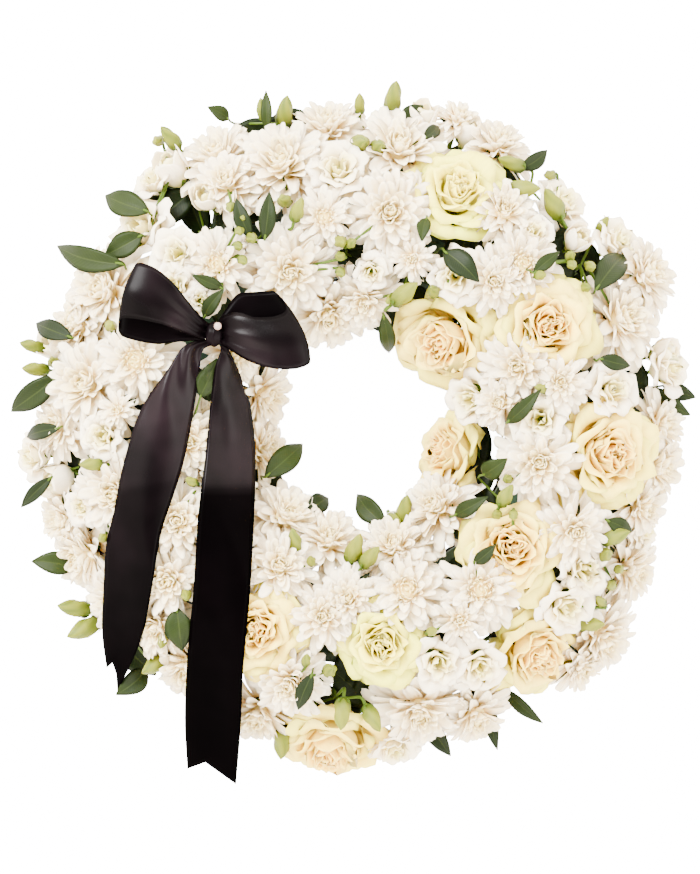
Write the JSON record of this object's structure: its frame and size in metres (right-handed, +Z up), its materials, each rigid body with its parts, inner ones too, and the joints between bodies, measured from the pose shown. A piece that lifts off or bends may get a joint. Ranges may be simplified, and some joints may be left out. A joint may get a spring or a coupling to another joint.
{
  "type": "funeral wreath",
  "caption": "Round funeral wreath of white chrysanthemums, cream roses and lisianthus on a wet foam ring in a tray, with a black satin bow",
  "frame": {"origin": "on the surface it lies on, under the middle of the whole wreath with its bow", "axes": "+Z up through the blooms, +Y towards the top of the wreath as it is seen from above, +X to its right"},
  "size_m": [0.586, 0.6028, 0.1583],
  "materials": {
    "tray": "black moulded plastic",
    "floral_foam": "wet green floral foam",
    "black_satin": "black satin ribbon",
    "pearl": "pearl bead",
    "rose_petals": "soft cream petals",
    "chrysanthemum_petals": "white petals",
    "lisianthus_petals": "soft white petals",
    "leaves_and_buds": "waxy green leaf"
  },
  "bodies": {
    "root": {"base_tray": "tray", "collar_leaves_01": "leaves_and_buds", "collar_leaves_02": "leaves_and_buds", "collar_leaves_03": "leaves_and_buds", "collar_leaves_04": "leaves_and_buds", "foam_ring": "floral_foam", "leaf_spray_01": "leaves_and_buds", "leaf_spray_02": "leaves_and_buds", "leaf_spray_03": "leaves_and_buds", "leaf_spray_04": "leaves_and_buds", "leaf_spray_05": "leaves_and_buds", "leaf_spray_06": "leaves_and_buds", "leaf_spray_07": "leaves_and_buds", "leaf_spray_08": "leaves_and_buds", "leaf_spray_09": "leaves_and_buds", "leaf_spray_10": "leaves_and_buds", "leaf_spray_11": "leaves_and_buds", "leaf_spray_12": "leaves_and_buds", "leaf_spray_13": "leaves_and_buds", "leaf_spray_14": "leaves_and_buds", "lisianthus_01": "lisianthus_petals", "lisianthus_02": "lisianthus_petals", "lisianthus_03": "lisianthus_petals", "lisianthus_04": "lisianthus_petals", "lisianthus_05": "lisianthus_petals", "lisianthus_06": "lisianthus_petals", "lisianthus_07": "lisianthus_petals", "lisianthus_08": "lisianthus_petals", "lisianthus_09": "lisianthus_petals", "lisianthus_10": "lisianthus_petals", "mum_spray_01": "chrysanthemum_petals", "mum_spray_02": "chrysanthemum_petals", "mum_spray_03": "chrysanthemum_petals", "mum_spray_04": "chrysanthemum_petals", "mum_spray_05": "chrysanthemum_petals", "mum_spray_06": "chrysanthemum_petals", "mum_spray_07": "chrysanthemum_petals", "mum_spray_08": "chrysanthemum_petals", "mum_spray_09": "chrysanthemum_petals", "mum_spray_10": "chrysanthemum_petals", "mum_spray_11": "chrysanthemum_petals", "mum_spray_12": "chrysanthemum_petals", "mum_spray_13": "chrysanthemum_petals", "mum_spray_14": "chrysanthemum_petals", "mum_spray_15": "chrysanthemum_petals", "mum_spray_16": "chrysanthemum_petals", "pearl_pin": "pearl", "ribbon_bow": "black_satin", "rose_01": "rose_petals", "rose_02": "rose_petals", "rose_03": "rose_petals", "rose_04": "rose_petals", "rose_05": "rose_petals", "rose_06": "rose_petals", "rose_07": "rose_petals", "rose_08": "rose_petals", "rose_09": "rose_petals", "rose_10": "rose_petals"}
  },
  "joints": []
}
